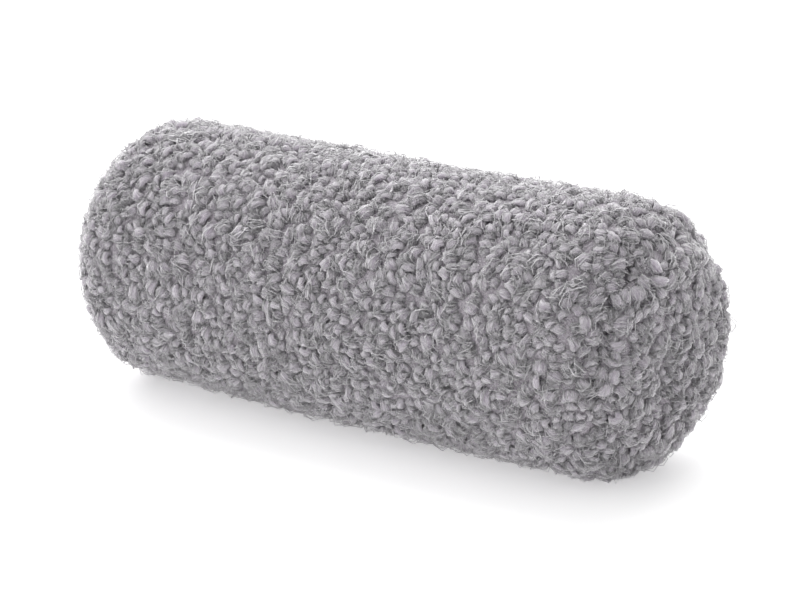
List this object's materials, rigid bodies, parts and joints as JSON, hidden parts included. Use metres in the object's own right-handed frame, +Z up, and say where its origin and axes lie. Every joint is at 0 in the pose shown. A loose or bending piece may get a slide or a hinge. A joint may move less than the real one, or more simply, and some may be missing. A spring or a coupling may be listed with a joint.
{
  "type": "neck roll pillow",
  "caption": "Filled round neck roll in short curly grey pile, with rounded shoulders and a round crowned panel sewn into each end, lying on its side.",
  "frame": {"origin": "under the middle of the roll, on the surface that it lies on", "axes": "+X along the roll towards the end that shows in the picture, +Z up, the front is -Y"},
  "size_m": [0.3978, 0.161, 0.1551],
  "materials": {
    "curly_pile": "matt curly pile"
  },
  "bodies": {
    "root": {"filled_roll": "curly_pile", "end_panel_left": "curly_pile", "end_panel_right": "curly_pile"}
  },
  "joints": []
}
